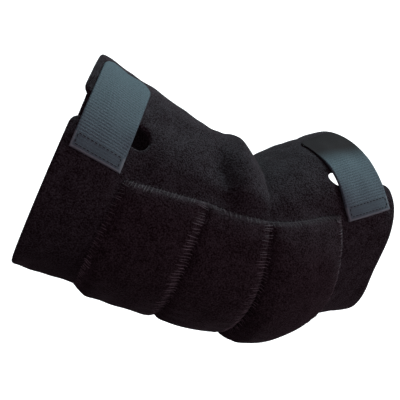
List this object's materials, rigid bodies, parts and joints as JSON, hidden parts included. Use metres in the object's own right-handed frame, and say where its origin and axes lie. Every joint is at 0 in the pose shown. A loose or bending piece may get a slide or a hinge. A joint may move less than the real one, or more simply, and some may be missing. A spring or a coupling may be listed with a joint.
{
  "type": "elbow protector",
  "caption": "Bent tubular cloth sleeve for an elbow, open at both ends, with a quilted pad over the elbow point and a webbing strap across a slot at each rim.",
  "frame": {"origin": "centre of the elbow on the arm's own line, inside the hollow of the sleeve", "axes": "+X along the upper arm towards the elbow, +Y to the side that the forearm bends to, +Z the elbow's hinge direction, out of the side with the straps"},
  "size_m": [0.1636, 0.1336, 0.105],
  "materials": {
    "brushed_cloth": "black brushed loop cloth, matt and slightly fuzzy",
    "pad_cloth": "black brushed loop cloth over padding, overcast seams",
    "webbing": "slate ribbed elastic webbing, dull sheen"
  },
  "bodies": {
    "root": {"sleeve": "brushed_cloth", "pocket_panel": "pad_cloth", "upper_strap": "webbing", "forearm_strap": "webbing"}
  },
  "joints": []
}
